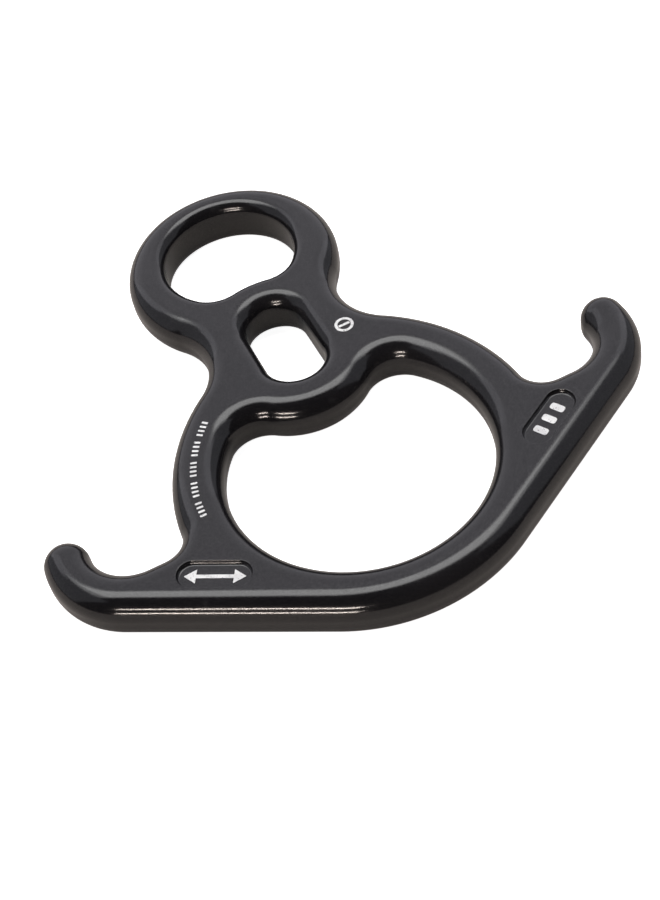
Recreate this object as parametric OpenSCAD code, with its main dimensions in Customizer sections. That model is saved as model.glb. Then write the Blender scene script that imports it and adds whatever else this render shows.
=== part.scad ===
// Figure-of-eight rope descender with ears: one thick plate with a large eye, a middle slot,
// a small eye and a hooked ear at each end of the cross bar.
// The plate lies flat on z = 0. The small eye points along +Y, and X = 0 is the plane of symmetry.

/* [Plate] */
// thickness of the plate
plate_t = 16; // [14:0.5:18]
// rounding of the outline and of the large eye, where the rope runs
edge_r = 6.9; // [6.5:0.1:7]
// rounding of the small eye
small_edge_r = 4.1; // [2:0.1:4.1]
// rounding of the slot
slot_edge_r = 5.4; // [3:0.1:5.5]

/* [Large eye] */
// radius of the large eye, whose centre every other place is measured from
big_r = 40; // [39:0.5:40.5]
// radius of the nose that dips into the large eye
big_nose_r = 25.7; // [23:0.1:27]
// height of the nose's centre above the large eye's centre
big_nose_y = 47; // [46:0.5:48]
// blend between the nose and the large eye
big_blend_r = 10; // [8:0.5:12]

/* [Small eye] */
// radius of the small eye, which takes a carabiner
small_r = 21.7; // [21:0.1:21.8]
// height of the small eye's centre above the large eye's centre
small_y = 98.9; // [98:0.1:100]
// radius of the nose that rises into the small eye
small_nose_r = 30.1; // [28:0.1:30.5]
// height of that nose's centre
small_nose_y = 51.7; // [51:0.1:52]
// blend between that nose and the small eye
small_blend_r = 10.5; // [9:0.5:11]
// outer radius of the ring around the small eye
ring_r = 35.2; // [34.5:0.1:36]
// height of that ring's centre
ring_y = 96.6; // [96:0.1:97]

/* [Slot] */
// length of the slot along Y
slot_l = 34.4; // [32:0.1:35]
// width of the slot
slot_w = 18.8; // [17:0.1:20]
// height of the slot's centre above the large eye's centre
slot_y = 53.2; // [52:0.1:54]

/* [Outline] */
// radius of the shoulder beside the large eye
shoulder_r = 62.5; // [61:0.5:64]
// place of the right shoulder's centre
shoulder_centre = [-6.5, -2];
// radius of the neck between the small ring and the shoulder
neck_r = 20.4; // [18:0.1:23]
// rounded corner between the shoulder and the notch behind the ear
notch_r = 7.7; // [6:0.1:9]
// height of the notch's straight floor
notch_y = -4.7; // [-6:0.1:-4]

/* [Cross bar and ears] */
// slope of each half of the cross bar
bar_slope = 30.5; // [29:0.5:32]
// distance from the large eye's centre to the outer edge of the bar
bar_d = 55.4; // [55:0.1:57]
// where the straight edge of the bar ends and the ear begins, along the edge
bar_l = 62.5; // [61:0.5:64]
// height of the centre of the rounded corner below the large eye
corner_y = 2.8; // [0:0.1:5]
// outer radius of the ear
ear_r = 28; // [27:0.5:30]
// direction in which the ear's tip lies from the centre of its outer radius
ear_tip_angle = 6.7; // [4:0.1:9]
// inner radius of the ear's hook
hook_r = 13.6; // [12:0.1:15]

/* [Recesses and marks] */
// length of each shallow recess in the web beside the large eye
recess_l = 21.7; // [18:0.1:23]
// width of each recess
recess_w = 8.8; // [7:0.1:9]
// depth of each recess
recess_depth = 1.3; // [0.5:0.1:1.5]
// place of the right recess
recess_centre = [53, -19.2];
// thickness of the inlaid marks
mark_t = 0.2; // [0.1:0.1:0.4]
// number of groups of ticks in the row on the left shoulder
tick_groups = 5; // [2:1:5]
// ticks in each group
ticks_in_group = 4; // [3:1:5]

/* [Hidden] */
$fn = 96;

anodised = [0.17, 0.17, 0.19];
white = [0.93, 0.93, 0.92];
reach = 1;       // how far a cutting solid runs past the face that it cuts
crease = 0.02;   // how far the rounding stands off the faces, which leaves a fine line where it starts
lap = 0.15;      // how far each stretch of rounding runs on into the next
shy = 0.03;      // how much shallower every second stretch is, so that laps never coincide

// unit vector at angle a
function dir(a) = [cos(a), sin(a)];
// angle of the line from p to q
function bearing(p, q) = atan2(q[1] - p[1], q[0] - p[0]);
// the point at distance r1 from c1 and r2 from c2, to the left of the line from c1 to c2
function crossing(c1, r1, c2, r2) =
    let (d = norm(c2 - c1), along = (c2 - c1) / d, x = (r1 * r1 - r2 * r2 + d * d) / (2 * d))
    c1 + x * along + sqrt(r1 * r1 - x * x) * [-along[1], along[0]];
function flip(p) = [-p[0], p[1]];

// An arc is [centre, radius, first angle, last angle], counter-clockwise.
function arc_point(arc, a) = arc[0] + arc[1] * dir(a);
function arc_start(arc) = arc_point(arc, arc[2]);
function arc_end(arc) = arc_point(arc, arc[3]);

// Outline, right half, from the corner below the large eye up to the ring. Each arc runs into the next.
bar_out = bar_slope - 90;
bar_end = bar_d * dir(bar_out) + bar_l * dir(bar_slope);
corner_r = bar_d + cos(bar_slope) * corner_y;
corner = [[0, corner_y], corner_r, -180 - bar_out, bar_out];
ear_c = bar_end - ear_r * dir(bar_out);
ear = [ear_c, ear_r, bar_out, ear_tip_angle];
tip_c = ear_c + (ear_r - edge_r) * dir(ear_tip_angle);
hook_drop = tip_c[1] - notch_y - hook_r;
hook_c = [tip_c[0] - sqrt(pow(hook_r + edge_r, 2) - pow(hook_drop, 2)), notch_y + hook_r];
hook = [hook_c, hook_r, -90, bearing(hook_c, tip_c)];
tip = [tip_c, edge_r, ear_tip_angle, 180 + bearing(hook_c, tip_c)];
notch_rise = notch_y + notch_r - shoulder_centre[1];
notch_c = shoulder_centre + [sqrt(pow(shoulder_r + notch_r, 2) - pow(notch_rise, 2)), notch_rise];
notch = [notch_c, notch_r, 180 + bearing(shoulder_centre, notch_c), 270];
ring_c = [0, ring_y];
neck_c = crossing(ring_c, ring_r + neck_r, shoulder_centre, shoulder_r + neck_r);
neck = [neck_c, neck_r, bearing(neck_c, ring_c), 360 + bearing(neck_c, shoulder_centre)];
shoulder_start = bearing(shoulder_centre, notch_c);
shoulder = [shoulder_centre, shoulder_r, shoulder_start, bearing(shoulder_centre, neck_c)];
ring = [ring_c, ring_r, bearing(ring_c, neck_c), 180 - bearing(ring_c, neck_c)];

// Large eye: a circle with a nose that dips into it from above.
big_c = [0, 0];
big_nose_c = [0, big_nose_y];
big_blend_c = crossing(big_nose_c, big_nose_r + big_blend_r, big_c, big_r - big_blend_r);
big_turn = bearing(big_c, big_blend_c);
big_nose_turn = bearing(big_nose_c, big_blend_c);
big_eye = [big_c, big_r, 180 - big_turn, 360 + big_turn];
big_blend = [big_blend_c, big_blend_r, big_turn, 180 + big_nose_turn];
big_nose = [big_nose_c, big_nose_r, -180 - big_nose_turn, big_nose_turn];

// Small eye: a circle with a nose that rises into it from below.
small_c = [0, small_y];
small_nose_c = [0, small_nose_y];
small_blend_c = crossing(small_c, small_r - small_blend_r, small_nose_c, small_nose_r + small_blend_r);
small_turn = bearing(small_c, small_blend_c);
small_nose_turn = bearing(small_nose_c, small_blend_c);
small_eye = [small_c, small_r, small_turn, 180 - small_turn];
small_blend = [small_blend_c, small_blend_r, 180 + small_nose_turn, 360 + small_turn];
small_nose = [small_nose_c, small_nose_r, small_nose_turn, 180 - small_nose_turn];

// Slot: straight sides along Y with half-round ends.
slot_half = (slot_l - slot_w) / 2;
slot_top = [[0, slot_y + slot_half], slot_w / 2, 0, 180];
slot_bottom = [[0, slot_y - slot_half], slot_w / 2, 180, 360];

// The origin is the middle of the plate's box, so everything moves down by this much.
middle_y = (ring_y + ring_r + corner_y - corner_r) / 2;

// Marks
mark_floor = plate_t - recess_depth;
tick_l = 2;
tick_w = 0.7;
tick_radius = (big_r + shoulder_r + shoulder_centre[0]) / 2;
tick_first = 136;
tick_step = 1.9;
tick_gap = 1.6;
emblem_c = [18.4, 46.8];
emblem_r = 3;
emblem_w = 0.9;

module both_sides() {
    children();
    mirror([1, 0, 0]) children();
}

// the part of an arc's disc that lies beyond its chord
module bulge(arc) {
    middle = (arc[2] + arc[3]) / 2;
    spread = arc[1] * sqrt(2);
    intersection() {
        translate(arc[0]) circle(arc[1]);
        polygon([
            arc_start(arc), arc_start(arc) + spread * dir(middle - 45),
            arc_end(arc) + spread * dir(middle + 45), arc_end(arc)
        ]);
    }
}

// The right half, from the bottom of the rounded corner to the top of the ring.
module half_outline() {
    half_corner = [corner[0], corner_r, -90, bar_out];
    half_ring = [ring_c, ring_r, ring[2], 90];
    difference() {
        union() {
            polygon([
                arc_start(half_corner), arc_end(half_corner), bar_end, arc_start(tip), arc_end(tip),
                arc_start(hook), arc_end(notch), arc_start(shoulder), arc_end(shoulder),
                arc_start(half_ring), arc_end(half_ring)
            ]);
            bulge(half_corner);
            bulge(ear);
            bulge(tip);
            bulge(shoulder);
            bulge(half_ring);
        }
        bulge(hook);
        bulge(notch);
        bulge(neck);
    }
}

// An eye: the main circle up to its chord, widened by two blends and dented by the nose.
module eye(main, blend, nose, above) {
    chord_y = arc_start(main)[1];
    low = above ? chord_y : main[0][1] - main[1];
    high = above ? main[0][1] + main[1] : chord_y;
    inner = nose[2] < 0 ? arc_end(nose) : arc_start(nose);
    side = above ? arc_start(main) : arc_end(main);
    difference() {
        union() {
            intersection() {
                translate(main[0]) circle(main[1]);
                translate([-main[1], low]) square([2 * main[1], high - low]);
            }
            polygon([side, inner, flip(inner), flip(side)]);
            both_sides() bulge(blend);
        }
        bulge(nose);
    }
}

module slot() {
    for (end = [slot_top, slot_bottom]) translate(end[0]) circle(end[1]);
    translate([-slot_w / 2, slot_y - slot_half]) square([slot_w, 2 * slot_half]);
}

// What is cut off both corners of an edge at x = 0, where the plate is on the -x side.
// Stretches alternate between full and shy ones along every edge.
module edge_cut(r, is_shy) {
    back = is_shy ? shy : 0;
    for (top = [0, 1])
        translate([0, top * plate_t])
            mirror([0, 1 - top])
                translate([back, back])
                    difference() {
                        translate([-r, -r]) square(r + reach - 3 * back);
                        translate([crease - r, crease - r]) circle(r);
                    }
}

// Rounds an edge along an arc. The plate lies inside the arc when inside is true.
module round_arc(arc, r, inside, is_shy) {
    extra = lap / arc[1] * 180 / PI;
    translate(arc[0])
        rotate(arc[2] - extra)
            rotate_extrude(angle = arc[3] - arc[2] + 2 * extra)
                translate([arc[1], 0])
                    mirror([inside ? 0 : 1, 0])
                        edge_cut(r, is_shy);
}

// The ear's tip is as round as its edges, so a ball shapes it. It stands off twice as far as the rest.
module round_tip() {
    extra = lap / edge_r * 180 / PI;
    translate(tip_c)
        rotate(tip[2] - extra)
            rotate_extrude(angle = tip[3] - tip[2] + 2 * extra)
                for (top = [0, 1])
                    translate([0, top * plate_t])
                        mirror([0, 1 - top])
                            difference() {
                                translate([0, -edge_r]) square(edge_r + reach);
                                translate([0, -edge_r]) circle(edge_r + 2 * crease);
                            }
}

// Rounds a straight edge that runs from start, with out the direction away from the plate.
module round_line(start, length, out, r, is_shy) {
    translate(start)
        rotate([90, 0, out])
            translate([0, 0, -lap])
                linear_extrude(length + 2 * lap)
                    edge_cut(r, is_shy);
}

module outline_rounding() {
    round_arc(ring, edge_r, true, false);
    round_arc(corner, edge_r, true, true);
    both_sides() {
        round_arc(neck, edge_r, false, true);
        round_arc(shoulder, edge_r, true, false);
        round_arc(notch, edge_r, false, true);
        round_line(arc_end(notch), hook_c[0] - notch_c[0], 90, edge_r, false);
        round_arc(hook, edge_r, false, true);
        round_tip();
        round_arc(ear, edge_r, true, true);
        round_line(bar_end, norm(bar_end - arc_end(corner)), bar_out, edge_r, false);
    }
}

module eye_rounding(main, blend, nose, r) {
    round_arc(main, r, false, false);
    round_arc(nose, r, true, false);
    both_sides() round_arc(blend, r, false, true);
}

module slot_rounding() {
    round_arc(slot_top, slot_edge_r, false, false);
    round_arc(slot_bottom, slot_edge_r, false, false);
    both_sides() round_line([slot_w / 2, slot_y - slot_half], 2 * slot_half, 180, slot_edge_r, true);
}

module at_recess(side) {
    translate(side < 0 ? flip(recess_centre) : recess_centre)
        rotate(side * bar_slope)
            children();
}

module recess() {
    straight = recess_l - recess_w;
    translate([0, 0, mark_floor]) {
        for (end = [-1, 1])
            translate([end * straight / 2, 0, 0]) cylinder(d = recess_w, h = recess_depth + reach);
        translate([-straight / 2, -recess_w / 2, 0]) cube([straight, recess_w, recess_depth + reach]);
    }
}

// Both shapes of marks stand on z = 0 and are as thick as asked.
module ticks(thick) {
    for (group = [0 : tick_groups - 1], tick = [0 : ticks_in_group - 1])
        rotate(tick_first + (group * ticks_in_group + tick) * tick_step + group * tick_gap)
            translate([tick_radius - tick_l / 2, -tick_w / 2, 0])
                cube([tick_l, tick_w, thick]);
}

module ring_and_bar(thick) {
    translate([emblem_c[0], emblem_c[1], 0]) {
        difference() {
            cylinder(r = emblem_r, h = thick);
            translate([0, 0, -reach]) cylinder(r = emblem_r - emblem_w, h = thick + 2 * reach);
        }
        translate([emblem_w - emblem_r, -emblem_w / 2, 0])
            cube([2 * (emblem_r - emblem_w), emblem_w, thick]);
    }
}

module in_place() {
    translate([0, -middle_y, 0]) children();
}

module body() {
    color(anodised)
        in_place()
            difference() {
                linear_extrude(plate_t) both_sides() half_outline();
                translate([0, 0, -reach])
                    linear_extrude(plate_t + 2 * reach) {
                        eye(big_eye, big_blend, big_nose, false);
                        eye(small_eye, small_blend, small_nose, true);
                        slot();
                    }
                outline_rounding();
                eye_rounding(big_eye, big_blend, big_nose, edge_r);
                eye_rounding(small_eye, small_blend, small_nose, small_edge_r);
                slot_rounding();
                for (side = [-1, 1]) at_recess(side) recess();
                translate([0, 0, plate_t - mark_t]) {
                    ticks(mark_t + reach);
                    ring_and_bar(mark_t + reach);
                }
            }
}

// double-headed arrow on the floor of the left recess, along the load
module load_mark() {
    shaft = recess_l * 0.25;
    head = recess_w * 0.4;
    right = [
        [shaft, -head / 6], [shaft, -head / 1.5], [shaft + head, 0], [shaft, head / 1.5], [shaft, head / 6]
    ];
    left = [for (point = right) -point];
    color(white)
        in_place()
            at_recess(-1)
                translate([0, 0, mark_floor])
                    linear_extrude(mark_t)
                        polygon(concat(right, left));
}

// three plain bars on the floor of the right recess
module bar_mark() {
    bar = [recess_l * 0.11, recess_w * 0.5];
    color(white)
        in_place()
            at_recess(1)
                translate([0, 0, mark_floor])
                    linear_extrude(mark_t)
                        for (place = [-1 : 1])
                            translate([place * 2 * bar[0] - bar[0] / 2, -bar[1] / 2]) square(bar);
}

module shoulder_marks() {
    color(white)
        in_place()
            translate([0, 0, plate_t - mark_t])
                ticks(mark_t);
}

module emblem() {
    color(white)
        in_place()
            translate([0, 0, plate_t - mark_t])
                ring_and_bar(mark_t);
}

body();
load_mark();
bar_mark();
shoulder_marks();
emblem();
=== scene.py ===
"""Looks of the rope descender: one smooth anodised plate with painted marks, on a pale studio floor.

The plate is made from the same arcs as the CAD part. Lengths here are in millimetres and are
scaled to metres when a mesh is made. Plans are measured from the large eye's centre.
"""

import math

import bmesh
import bpy
from mathutils import Matrix, Vector


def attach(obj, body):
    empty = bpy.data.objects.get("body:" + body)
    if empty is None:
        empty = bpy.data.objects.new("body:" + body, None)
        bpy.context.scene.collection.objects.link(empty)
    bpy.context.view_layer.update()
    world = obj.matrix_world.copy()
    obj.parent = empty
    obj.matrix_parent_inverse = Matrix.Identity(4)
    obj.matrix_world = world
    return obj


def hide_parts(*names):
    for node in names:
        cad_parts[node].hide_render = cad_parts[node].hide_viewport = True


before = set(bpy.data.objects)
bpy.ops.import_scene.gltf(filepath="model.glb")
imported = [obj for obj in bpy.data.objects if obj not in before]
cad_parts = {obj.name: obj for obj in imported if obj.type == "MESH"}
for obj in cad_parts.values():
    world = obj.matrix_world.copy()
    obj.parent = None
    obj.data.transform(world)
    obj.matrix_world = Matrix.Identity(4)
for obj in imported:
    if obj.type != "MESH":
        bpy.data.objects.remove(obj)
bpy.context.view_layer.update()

# ---------------------------------------------------------------- dimensions, as in the CAD part
MM = 0.001  # one millimetre in metres
PLATE_T = 16
EDGE_R = 6.9
SMALL_EDGE_R = 4.1
SLOT_EDGE_R = 5.4

BIG_R = 40
BIG_NOSE_R = 25.7
BIG_NOSE_Y = 47
BIG_BLEND_R = 10

SMALL_R = 21.7
SMALL_Y = 98.9
SMALL_NOSE_R = 30.1
SMALL_NOSE_Y = 51.7
SMALL_BLEND_R = 10.5
RING_R = 35.2
RING_Y = 96.6

SLOT_L = 34.4
SLOT_W = 18.8
SLOT_Y = 53.2

SHOULDER_R = 62.5
SHOULDER_CENTRE = Vector((-6.5, -2))
NECK_R = 20.4
NOTCH_R = 7.7
NOTCH_Y = -4.7

BAR_SLOPE = 30.5
BAR_D = 55.4
BAR_L = 62.5
CORNER_Y = 2.8
EAR_R = 28
EAR_TIP_ANGLE = 6.7
HOOK_R = 13.6

RECESS_L = 21.7
RECESS_W = 8.8
RECESS_DEPTH = 1.3
RECESS_CENTRE = Vector((53, -19.2))
RECESS_RIM = 0.3  # softened corner where the recess meets the plate's top
RECESS_FILLET = 0.95  # hollow corner round the recess's floor

EMBLEM_C = Vector((18.4, 46.8))
EMBLEM_R = 3
EMBLEM_W = 0.9

TICK_GROUPS = 5
TICKS_IN_GROUP = 4
TICK_L = 2
TICK_W = 0.7
TICK_FIRST = 136
TICK_STEP = 1.9
TICK_GAP = 1.6
TICK_RADIUS = (BIG_R + SHOULDER_R + SHOULDER_CENTRE[0]) / 2

PAINT_T = 0.02  # the paint stands this far above the plate, whose top is that much lower
TOP = PLATE_T - PAINT_T
MIDDLE_Y = (RING_Y + RING_R + CORNER_Y - BAR_D - math.cos(math.radians(BAR_SLOPE)) * CORNER_Y) / 2

ARC_STEP = 0.6  # length of one mesh edge along an arc
LINE_STEP = 2.5  # and along a straight line
EDGE_STEPS = 14  # mesh edges across a rounding
RECESS_STEPS = 8  # mesh edges across the recess's rim, and across its fillet
TIP_PLAY = 0.05  # keeps the rounding of the ear's tip from closing to a point
SKIN = 0.03  # keeps the outline inside the CAD part's box


# ---------------------------------------------------------------- plan geometry
def direction(angle):
    """Unit vector at an angle in degrees."""
    return Vector((math.cos(math.radians(angle)), math.sin(math.radians(angle))))


def bearing(start, end):
    """Angle in degrees of the line from start to end."""
    return math.degrees(math.atan2(end[1] - start[1], end[0] - start[0]))


def crossing(c1, r1, c2, r2):
    """The point at distance r1 from c1 and r2 from c2, to the left of the line from c1 to c2."""
    along = (c2 - c1).normalized()
    d = (c2 - c1).length
    x = (r1 * r1 - r2 * r2 + d * d) / (2 * d)
    return c1 + x * along + math.sqrt(r1 * r1 - x * x) * Vector((-along[1], along[0]))


def arc(centre, radius, first, last, plate_inside):
    """Points along an arc, each with the direction away from the plate. The last point is left out."""
    count = max(3, round(abs(math.radians(last - first)) * radius / ARC_STEP))
    way_out = 1 if plate_inside else -1
    turns = [direction(first + (last - first) * i / count) for i in range(count)]
    return [(centre + radius * turn, way_out * turn) for turn in turns]


def line(start, end):
    """Points along a line that has the plate on its left, without the last point."""
    count = max(1, round((end - start).length / LINE_STEP))
    along = (end - start).normalized()
    out = Vector((along[1], -along[0]))
    return [(start + (end - start) * i / count, out) for i in range(count)]


def flipped(points):
    """The same points on the other side of the plane of symmetry, in the opposite order."""
    return [(Vector((-p[0], p[1])), Vector((-n[0], n[1]))) for p, n in reversed(points)]


def closed(half):
    """A whole loop from its right half, which starts and ends on the plane of symmetry."""
    return half + [point for point in flipped(half) if abs(point[0][0]) > 1e-6]


def outline():
    """The plate's outer edge, counter-clockwise from the bottom of the rounded corner."""
    bar_out = BAR_SLOPE - 90
    corner_c = Vector((0, CORNER_Y))
    corner_r = BAR_D + math.cos(math.radians(BAR_SLOPE)) * CORNER_Y
    bar_end = BAR_D * direction(bar_out) + BAR_L * direction(BAR_SLOPE)
    ear_c = bar_end - EAR_R * direction(bar_out)
    tip_c = ear_c + (EAR_R - EDGE_R) * direction(EAR_TIP_ANGLE)
    hook_y = NOTCH_Y + HOOK_R
    hook_x = tip_c[0] - math.sqrt((HOOK_R + EDGE_R) ** 2 - (tip_c[1] - hook_y) ** 2)
    hook_c = Vector((hook_x, hook_y))
    hook_end = bearing(hook_c, tip_c)
    notch_rise = NOTCH_Y + NOTCH_R - SHOULDER_CENTRE[1]
    notch_run = math.sqrt((SHOULDER_R + NOTCH_R) ** 2 - notch_rise**2)
    notch_c = SHOULDER_CENTRE + Vector((notch_run, notch_rise))
    shoulder_start = bearing(SHOULDER_CENTRE, notch_c)
    ring_c = Vector((0, RING_Y))
    neck_c = crossing(ring_c, RING_R + NECK_R, SHOULDER_CENTRE, SHOULDER_R + NECK_R)
    neck_start = bearing(neck_c, ring_c)
    neck_end = 360 + bearing(neck_c, SHOULDER_CENTRE)
    half = arc(corner_c, corner_r, -90, bar_out, True)
    half += line(corner_c + corner_r * direction(bar_out), bar_end)
    half += arc(ear_c, EAR_R, bar_out, EAR_TIP_ANGLE, True)
    half += arc(tip_c, EDGE_R, EAR_TIP_ANGLE, 180 + hook_end, True)
    half += arc(hook_c, HOOK_R, hook_end, -90, False)
    half += line(hook_c - Vector((0, HOOK_R)), notch_c - Vector((0, NOTCH_R)))
    half += arc(notch_c, NOTCH_R, 270, 180 + shoulder_start, False)
    half += arc(SHOULDER_CENTRE, SHOULDER_R, shoulder_start, bearing(SHOULDER_CENTRE, neck_c), True)
    half += arc(neck_c, NECK_R, neck_end, neck_start, False)
    half += arc(ring_c, RING_R, bearing(ring_c, neck_c), 90, True)
    half.append((ring_c + RING_R * direction(90), direction(90)))
    return closed(half)


def eye(centre, radius, nose_c, nose_r, blend_r, above):
    """The edge of an eye: a circle, dented by a nose, with a blend at each side of the dent."""
    side = 1 if above else -1
    if above:
        blend_c = crossing(centre, radius - blend_r, nose_c, nose_r + blend_r)
    else:
        blend_c = crossing(nose_c, nose_r + blend_r, centre, radius - blend_r)
    turn = bearing(centre, blend_c)
    nose_turn = bearing(nose_c, blend_c)
    half = arc(nose_c, nose_r, side * 90, nose_turn, True)
    if above:
        half += arc(blend_c, blend_r, 180 + nose_turn, 360 + turn, False)
    else:
        half += arc(blend_c, blend_r, 180 + nose_turn, turn, False)
    half += arc(centre, radius, turn, side * 90, False)
    half.append((centre + side * radius * direction(90), -side * direction(90)))
    return closed(half)


def slot_edge():
    """The edge of the slot: straight sides and half-round ends."""
    reach = (SLOT_L - SLOT_W) / 2
    radius = SLOT_W / 2
    top = Vector((0, SLOT_Y + reach))
    bottom = Vector((0, SLOT_Y - reach))
    half = arc(top, radius, 90, 0, False)
    half += line(top + Vector((radius, 0)), bottom + Vector((radius, 0)))
    half += arc(bottom, radius, 0, -90, False)
    half.append((bottom - Vector((0, radius)), Vector((0, 1))))
    # where an end meets a side, both face straight across
    return closed([(p, n if abs(n[0]) < 0.999 else Vector((-1, 0))) for p, n in half])


def at_recess(point, side):
    """A point or direction of a recess, drawn along +X about its own centre, turned to its slope."""
    return Matrix.Rotation(math.radians(side * BAR_SLOPE), 2) @ point


def recess_edge(side):
    """The rim of a recess: straight sides and half-round ends."""
    reach = (RECESS_L - RECESS_W) / 2
    radius = RECESS_W / 2
    edge = []
    for end in (1, -1):
        tip = Vector((end * reach, 0))
        start = tip + Vector((0, end * radius))
        edge += arc(tip, radius, -90 * end, 180 - 90 * end, False)
        edge += [(p, Vector((0, -end))) for p, n in line(start, start - Vector((2 * end * reach, 0)))]
    return [(recess_place(p, side), at_recess(n, side)) for p, n in edge]


# ---------------------------------------------------------------- plate
class Plate:
    """Collects the plate's vertices with their exact normals."""

    def __init__(self):
        self.bm = bmesh.new()
        self.normals = []

    def ring(self, edge, out, z, tilt):
        """A loop of vertices at a distance out from an edge. Normals tilt in degrees from up."""
        verts = []
        for point, away in edge:
            place = point + out * away
            verts.append(self.bm.verts.new((place[0], place[1] - MIDDLE_Y, z)))
            flat = math.sin(math.radians(tilt)) * away
            self.normals.append((flat[0], flat[1], math.cos(math.radians(tilt))))
        return verts

    def bridge(self, first, second):
        """A strip of faces between two loops of equal length."""
        for i in range(len(first)):
            j = (i + 1) % len(first)
            self.bm.faces.new((first[i], first[j], second[j], second[i]))

    def strips(self, rings):
        for first, second in zip(rings, rings[1:]):
            self.bridge(first, second)

    def rounded_edge(self, edge, radius):
        """Both roundings of an edge and the wall between them. Returns the loops by the flats."""
        rings = []
        for face_z, up in ((TOP, 1), (0, -1)):
            turns = [90 * i / EDGE_STEPS for i in range(EDGE_STEPS + 1)]
            if up < 0:
                turns.reverse()
            for turn in turns:
                out = radius * (math.sin(math.radians(turn)) - 1)
                drop = radius * (1 - math.cos(math.radians(turn)))
                tilt = turn if up > 0 else 180 - turn
                rings.append(self.ring(edge, out, face_z - up * drop, tilt))
        self.strips(rings)
        return rings[0], rings[-1]

    def recess(self, edge):
        """A pocket with a softened rim and a filleted floor. Returns the rim's loop and the floor's."""
        turns = [90 * i / RECESS_STEPS for i in range(RECESS_STEPS + 1)]
        rings = []
        for turn in turns:
            out = RECESS_RIM * (math.sin(math.radians(turn)) - 1)
            drop = RECESS_RIM * (1 - math.cos(math.radians(turn)))
            rings.append(self.ring(edge, out, TOP - drop, turn))
        floor = PLATE_T - RECESS_DEPTH
        for turn in reversed(turns):
            out = RECESS_FILLET * (1 - math.sin(math.radians(turn)))
            rise = RECESS_FILLET * (1 - math.cos(math.radians(turn)))
            rings.append(self.ring(edge, out, floor + rise, turn))
        self.strips(rings)
        return rings[0], rings[-1]

    def fill(self, loops):
        """A flat face bounded by loops."""
        edges = []
        for loop in loops:
            for i in range(len(loop)):
                edges.append(self.bm.edges.get((loop[i], loop[(i + 1) % len(loop)])))
        bmesh.ops.triangle_fill(self.bm, use_beauty=True, edges=edges)

    def build(self, name):
        bmesh.ops.recalc_face_normals(self.bm, faces=self.bm.faces)
        return to_object(self.bm, name, self.normals)


def to_object(bm, name, normals=None):
    """A smooth-shaded object from a mesh in millimetres."""
    bmesh.ops.scale(bm, vec=(MM, MM, MM), verts=bm.verts)
    mesh = bpy.data.meshes.new(name)
    bm.to_mesh(mesh)
    bm.free()
    obj = bpy.data.objects.new(name, mesh)
    bpy.context.scene.collection.objects.link(obj)
    if normals:
        mesh.polygons.foreach_set("use_smooth", [True] * len(mesh.polygons))
        mesh.normals_split_custom_set_from_vertices(normals)
    return obj


def make_plate():
    """The whole plate, with its four rounded edges and its two recesses."""
    plate = Plate()
    big_nose_c = Vector((0, BIG_NOSE_Y))
    small_c = Vector((0, SMALL_Y))
    small_nose_c = Vector((0, SMALL_NOSE_Y))
    tops = []
    undersides = []
    for edge, radius in (
        ([(p - SKIN * n, n) for p, n in outline()], EDGE_R - TIP_PLAY),
        (eye(Vector((0, 0)), BIG_R, big_nose_c, BIG_NOSE_R, BIG_BLEND_R, False), EDGE_R),
        (eye(small_c, SMALL_R, small_nose_c, SMALL_NOSE_R, SMALL_BLEND_R, True), SMALL_EDGE_R),
        (slot_edge(), SLOT_EDGE_R),
    ):
        top, underside = plate.rounded_edge(edge, radius)
        tops.append(top)
        undersides.append(underside)
    for side in (-1, 1):
        rim, floor = plate.recess(recess_edge(side))
        tops.append(rim)
        plate.fill([floor])
    plate.fill(tops)
    plate.fill(undersides)
    return plate.build("plate")


# ---------------------------------------------------------------- painted marks
def pads(name, shapes, z):
    """Thin pads of paint on a face at height z. Each shape is a list of loops, outermost first."""
    bm = bmesh.new()
    for loops in shapes:
        rims = {z: [], z + PAINT_T: []}
        for loop in loops:
            rows = []
            for height, edges in rims.items():
                row = [bm.verts.new((p[0], p[1] - MIDDLE_Y, height)) for p in loop]
                edges += [bm.edges.new((row[i - 1], row[i])) for i in range(len(row))]
                rows.append(row)
            for i in range(len(loop)):
                bm.faces.new((rows[0][i - 1], rows[0][i], rows[1][i], rows[1][i - 1]))
        for edges in rims.values():
            bmesh.ops.triangle_fill(bm, use_beauty=True, edges=edges)
    bmesh.ops.recalc_face_normals(bm, faces=bm.faces)
    return to_object(bm, name)


def rounded_box(centre, length, width, angle):
    """A small bar with softened corners, as a loop of points."""
    soft = 0.3 * min(length, width)
    points = []
    for quarter, (sx, sy) in enumerate(((1, 1), (-1, 1), (-1, -1), (1, -1))):
        corner = Vector((sx * (length / 2 - soft), sy * (width / 2 - soft)))
        points += [corner + soft * direction(90 * quarter + 30 * i) for i in range(4)]
    turn = Matrix.Rotation(math.radians(angle), 2)
    return [centre + turn @ p for p in points]


def circle(centre, radius, count):
    return [centre + radius * direction(360 * i / count) for i in range(count)]


def recess_place(point, side):
    """A point of a recess in the plan."""
    return Vector((side * RECESS_CENTRE[0], RECESS_CENTRE[1])) + at_recess(point, side)


def load_arrow():
    """Double-headed arrow on the floor of the left recess, along the load."""
    shaft = RECESS_L * 0.25
    head = RECESS_W * 0.4
    upper = [(shaft + head, 0), (shaft, head / 1.5), (shaft, head / 6)]
    right = [(x, -y) for x, y in reversed(upper[1:])] + upper
    points = right + [(-x, -y) for x, y in right]
    return pads("paint_arrow", [[[recess_place(Vector(p), -1) for p in points]]], PLATE_T - RECESS_DEPTH)


def recess_bars():
    """Three plain bars on the floor of the right recess."""
    length = RECESS_W * 0.5
    width = RECESS_L * 0.11
    shapes = []
    for i in (-1, 0, 1):
        place = recess_place(Vector((2 * width * i, 0)), 1)
        shapes.append([rounded_box(place, width, length, BAR_SLOPE)])
    return pads("paint_bars", shapes, PLATE_T - RECESS_DEPTH)


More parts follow.
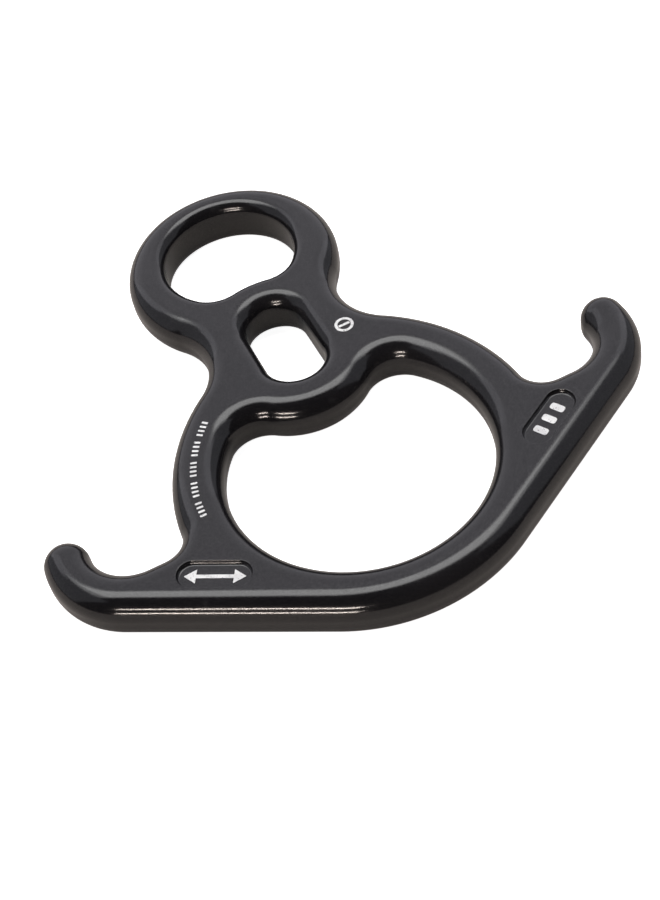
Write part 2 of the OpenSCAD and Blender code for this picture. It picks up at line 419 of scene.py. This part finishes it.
def shoulder_ticks():
    """Groups of ticks along the left shoulder."""
    shapes = []
    for i in range(TICK_GROUPS * TICKS_IN_GROUP):
        angle = TICK_FIRST + TICK_STEP * i + TICK_GAP * (i // TICKS_IN_GROUP)
        shapes.append([rounded_box(TICK_RADIUS * direction(angle), TICK_L, TICK_W, angle)])
    return pads("paint_ticks", shapes, TOP)


def emblem_ring():
    """A ring crossed by a bar, beside the slot."""
    inner = EMBLEM_R - EMBLEM_W
    shapes = [
        [circle(EMBLEM_C, EMBLEM_R, 64), circle(EMBLEM_C, inner, 64)],
        [rounded_box(EMBLEM_C, 2 * inner - 0.5, EMBLEM_W, 0)],
    ]
    return pads("paint_emblem", shapes, TOP)


# ---------------------------------------------------------------- materials
class Nodes:
    """A short way to write a node material."""

    def __init__(self, name):
        self.material = bpy.data.materials.new(name)
        self.material.use_nodes = True
        self.tree = self.material.node_tree
        self.shader = self.tree.nodes["Principled BSDF"]
        self.place = self.add("ShaderNodeTexCoord").outputs["Object"]

    def add(self, kind, **values):
        node = self.tree.nodes.new(kind)
        for key, value in values.items():
            setattr(node, key, value)
        return node

    def link(self, output, socket):
        self.tree.links.new(output, socket)

    def noise(self, scale, detail=2.0, stretch=(1, 1, 1)):
        """Noise with a feature of about 1 / scale metres, stretched along the axes."""
        mapping = self.add("ShaderNodeMapping")
        mapping.inputs["Scale"].default_value = stretch
        self.link(self.place, mapping.inputs["Vector"])
        node = self.add("ShaderNodeTexNoise")
        node.inputs["Scale"].default_value = scale
        node.inputs["Detail"].default_value = detail
        self.link(mapping.outputs["Vector"], node.inputs["Vector"])
        return node.outputs["Fac"]

    def ramp(self, value, low, high, first, last):
        """Maps value from low..high to first..last."""
        node = self.add("ShaderNodeMapRange")
        node.inputs["From Min"].default_value = low
        node.inputs["From Max"].default_value = high
        node.inputs["To Min"].default_value = first
        node.inputs["To Max"].default_value = last
        self.link(value, node.inputs["Value"])
        return node.outputs["Result"]

    def maths(self, operation, a, b):
        """Adds or multiplies two numbers or outputs."""
        node = self.add("ShaderNodeMath", operation=operation)
        for socket, value in zip(node.inputs, (a, b)):
            if isinstance(value, (int, float)):
                socket.default_value = value
            else:
                self.link(value, socket)
        return node.outputs["Value"]

    def blend(self, share, first, second):
        """A colour between two colours or colour outputs."""
        node = self.add("ShaderNodeMix", data_type="RGBA")
        self.link(share, node.inputs["Factor"])
        for name, value in (("A", first), ("B", second)):
            socket = next(s for s in node.inputs if s.name == name and s.type == "RGBA")
            if isinstance(value, tuple):
                socket.default_value = (*value, 1)
            else:
                self.link(value, socket)
        return next(s for s in node.outputs if s.type == "RGBA")

    def bump(self, height, distance, strength, below=None):
        """A normal bent by a height, over another bent normal if one is given."""
        node = self.add("ShaderNodeBump")
        node.inputs["Distance"].default_value = distance
        node.inputs["Strength"].default_value = strength
        self.link(height, node.inputs["Height"])
        if below is not None:
            self.link(below, node.inputs["Normal"])
        return node.outputs["Normal"]


def anodised():
    """Dark anodised aluminium with a tumbled grain, faint clouds and hairline scuffs."""
    n = Nodes("anodised")
    grain = n.noise(2600, detail=3)
    clouds = n.noise(38, detail=4)
    scuffs = n.maths("MULTIPLY", n.noise(420, stretch=(1, 0.05, 1)), n.noise(60))
    scuffs = n.ramp(scuffs, 0.36, 0.44, 0, 1)
    cloudy = n.ramp(clouds, 0.3, 0.7, 0, 1)
    colour = n.blend(cloudy, (0.0050, 0.0048, 0.0058), (0.0085, 0.0080, 0.0092))
    colour = n.blend(n.ramp(grain, 0.5, 0.75, 0, 0.7), colour, (0.018, 0.017, 0.018))
    colour = n.blend(n.maths("MULTIPLY", scuffs, 0.1), colour, (0.05, 0.05, 0.052))
    n.link(colour, n.shader.inputs["Base Color"])
    rough = n.ramp(clouds, 0.3, 0.7, 0.11, 0.15)
    rough = n.maths("ADD", rough, n.ramp(grain, 0.3, 0.7, -0.02, 0.04))
    n.link(n.maths("ADD", rough, n.maths("MULTIPLY", scuffs, 0.03)), n.shader.inputs["Roughness"])
    dents = n.bump(n.noise(700, detail=2), 0.00001, 0.3)
    n.link(n.bump(grain, 0.000012, 0.5, dents), n.shader.inputs["Normal"])
    n.link(n.ramp(grain, 0.3, 0.7, 0.4, 0.6), n.shader.inputs["Specular IOR Level"])
    n.shader.inputs["IOR"].default_value = 1.5
    return n.material


def mark_paint():
    """White marking paint, a little thin and worn, so that the dark plate shows through in specks."""
    n = Nodes("mark_paint")
    wear = n.ramp(n.noise(1900, detail=4), 0.6, 0.68, 0, 1)
    clouds = n.noise(260, detail=3)
    white = n.blend(n.ramp(clouds, 0.3, 0.7, 0, 1), (0.80, 0.80, 0.79), (0.62, 0.62, 0.62))
    n.link(n.blend(wear, white, (0.10, 0.10, 0.10)), n.shader.inputs["Base Color"])
    n.link(n.ramp(clouds, 0.3, 0.7, 0.45, 0.65), n.shader.inputs["Roughness"])
    n.link(n.bump(n.noise(1500), 0.00001, 0.4), n.shader.inputs["Normal"])
    return n.material


def floor_paper():
    """Seamless white paper, which the plate's lower walls see as darker and warmer than the camera does."""
    n = Nodes("floor_paper")
    tone = n.noise(3, detail=3)
    paper = n.blend(tone, (0.84, 0.84, 0.84), (0.88, 0.88, 0.88))
    seen = n.add("ShaderNodeLightPath").outputs["Is Camera Ray"]
    n.link(n.blend(seen, (0.46, 0.41, 0.37), paper), n.shader.inputs["Base Color"])
    n.shader.inputs["Roughness"].default_value = 0.9
    n.shader.inputs["Specular IOR Level"].default_value = 0.1
    n.shader.inputs["Emission Color"].default_value = (1, 1, 1, 1)
    n.link(n.ramp(seen, 0, 1, 0.1, 0.95), n.shader.inputs["Emission Strength"])
    return n.material


# ---------------------------------------------------------------- studio
CAMERA_AZ = 14.37  # turned this far from facing +Y, in degrees
CAMERA_EL = 49.744  # looking down
CAMERA_ROLL = -13.791
CAMERA_DISTANCE = 467.9
CAMERA_TARGET = Vector((-4.98, 10.03 - MIDDLE_Y, PLATE_T / 2))
LENS = 63.1
SENSOR = 36


def make_camera():
    """A camera at the photograph's viewing angle."""
    az = math.radians(CAMERA_AZ)
    el = math.radians(CAMERA_EL)
    roll = math.radians(CAMERA_ROLL)
    ahead = Vector((math.sin(az) * math.cos(el), math.cos(az) * math.cos(el), -math.sin(el)))
    right = Vector((math.cos(az), -math.sin(az), 0))
    up = right.cross(ahead)
    rolled_right = math.cos(roll) * right + math.sin(roll) * up
    rolled_up = math.cos(roll) * up - math.sin(roll) * right
    data = bpy.data.cameras.new("camera")
    data.lens = LENS
    data.sensor_width = SENSOR
    data.sensor_fit = "AUTO"
    data.clip_start = 0.01
    camera = bpy.data.objects.new("camera", data)
    turn = Matrix((rolled_right, rolled_up, -ahead)).transposed().to_4x4()
    place = (CAMERA_TARGET - CAMERA_DISTANCE * ahead) * MM
    camera.matrix_world = Matrix.Translation(place) @ turn
    bpy.context.scene.collection.objects.link(camera)
    bpy.context.scene.camera = camera


def softbox(name, elevation, side, distance, width, height, brightness, tint=(1, 1, 1)):
    """An area light that faces the plate. Its distance and size are in metres.

    Elevation runs from 0 at the camera's horizon over 90 overhead to 180 at the far horizon. Side turns
    it about the vertical from that plane. Both are in degrees.
    """
    heading = Vector((-math.sin(math.radians(CAMERA_AZ)), -math.cos(math.radians(CAMERA_AZ)), 0))
    level = Matrix.Rotation(math.radians(side), 3, "Z") @ heading
    rise = math.radians(elevation)
    toward = math.cos(rise) * level + math.sin(rise) * Vector((0, 0, 1))
    data = bpy.data.lights.new(name, "AREA")
    data.shape = "RECTANGLE"
    data.size = width
    data.size_y = height
    data.energy = brightness * math.pi * width * height
    data.color = tint
    lamp = bpy.data.objects.new(name, data)
    lamp.location = toward * distance
    lamp.rotation_euler = toward.to_track_quat("Z", "Y").to_euler()
    bpy.context.scene.collection.objects.link(lamp)


def make_lights():
    """A soft-edged box overhead, grey walls behind and beside, and two thin tubes in front."""
    softbox("overhead_box", 101, 0, 1.2, 1.25, 0.54, 3.0)
    softbox("overhead_rim", 101, 0, 1.25, 1.7, 0.74, 1.9)
    softbox("far_wall", 146, 0, 2.2, 4.5, 2.4, 1.06, (0.95, 0.93, 1.0))
    for side in (-105, 105):
        softbox("side_wall", 32, side, 2.2, 2.6, 2.4, 0.42, (0.9, 0.92, 1.0))
    for elevation in (7, 26):
        softbox("front_tube", elevation, -25, 1.6, 0.6, 0.035, 95, (1.0, 0.88, 0.8))


def make_floor():
    """A round floor in metres, a little below the plate."""
    bm = bmesh.new()
    rings = []
    for radius in (0.3, 1, 3, 8):
        rings.append([bm.verts.new((*point, 0)) for point in circle(Vector((0, 0)), radius, 96)])
    for first, second in zip(rings, rings[1:]):
        for i in range(len(first)):
            bm.faces.new((first[i - 1], first[i], second[i], second[i - 1]))
    bm.faces.new(rings[0])
    bmesh.ops.recalc_face_normals(bm, faces=bm.faces)
    mesh = bpy.data.meshes.new("floor")
    bm.to_mesh(mesh)
    bm.free()
    floor = bpy.data.objects.new("floor", mesh)
    floor.location = (0, 0, -0.0002)
    mesh.materials.append(floor_paper())
    bpy.context.scene.collection.objects.link(floor)


def make_world():
    """Dark studio around the object, and a pale backdrop wherever the camera sees past the floor."""
    world = bpy.data.worlds.new("studio")
    world.use_nodes = True
    bpy.context.scene.world = world
    tree = world.node_tree
    seen = tree.nodes.new("ShaderNodeLightPath")
    level = tree.nodes.new("ShaderNodeMapRange")
    level.inputs["To Min"].default_value = 0.02
    level.inputs["To Max"].default_value = 1.0
    tree.links.new(seen.outputs["Is Camera Ray"], level.inputs["Value"])
    tree.links.new(level.outputs["Result"], tree.nodes["Background"].inputs["Strength"])
    tree.nodes["Background"].inputs["Color"].default_value = (1, 1, 1, 1)
    bpy.context.scene.view_settings.view_transform = "Standard"


# ---------------------------------------------------------------- assembly
plate = make_plate()
plate.data.materials.append(anodised())
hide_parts("body")
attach(plate, "root")

paint = mark_paint()
for piece, node in (
    (load_arrow(), "load_mark"),
    (recess_bars(), "bar_mark"),
    (shoulder_ticks(), "shoulder_marks"),
    (emblem_ring(), "emblem"),
):
    piece.data.materials.append(paint)
    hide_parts(node)
    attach(piece, "root")

make_camera()
make_lights()
make_floor()
make_world()
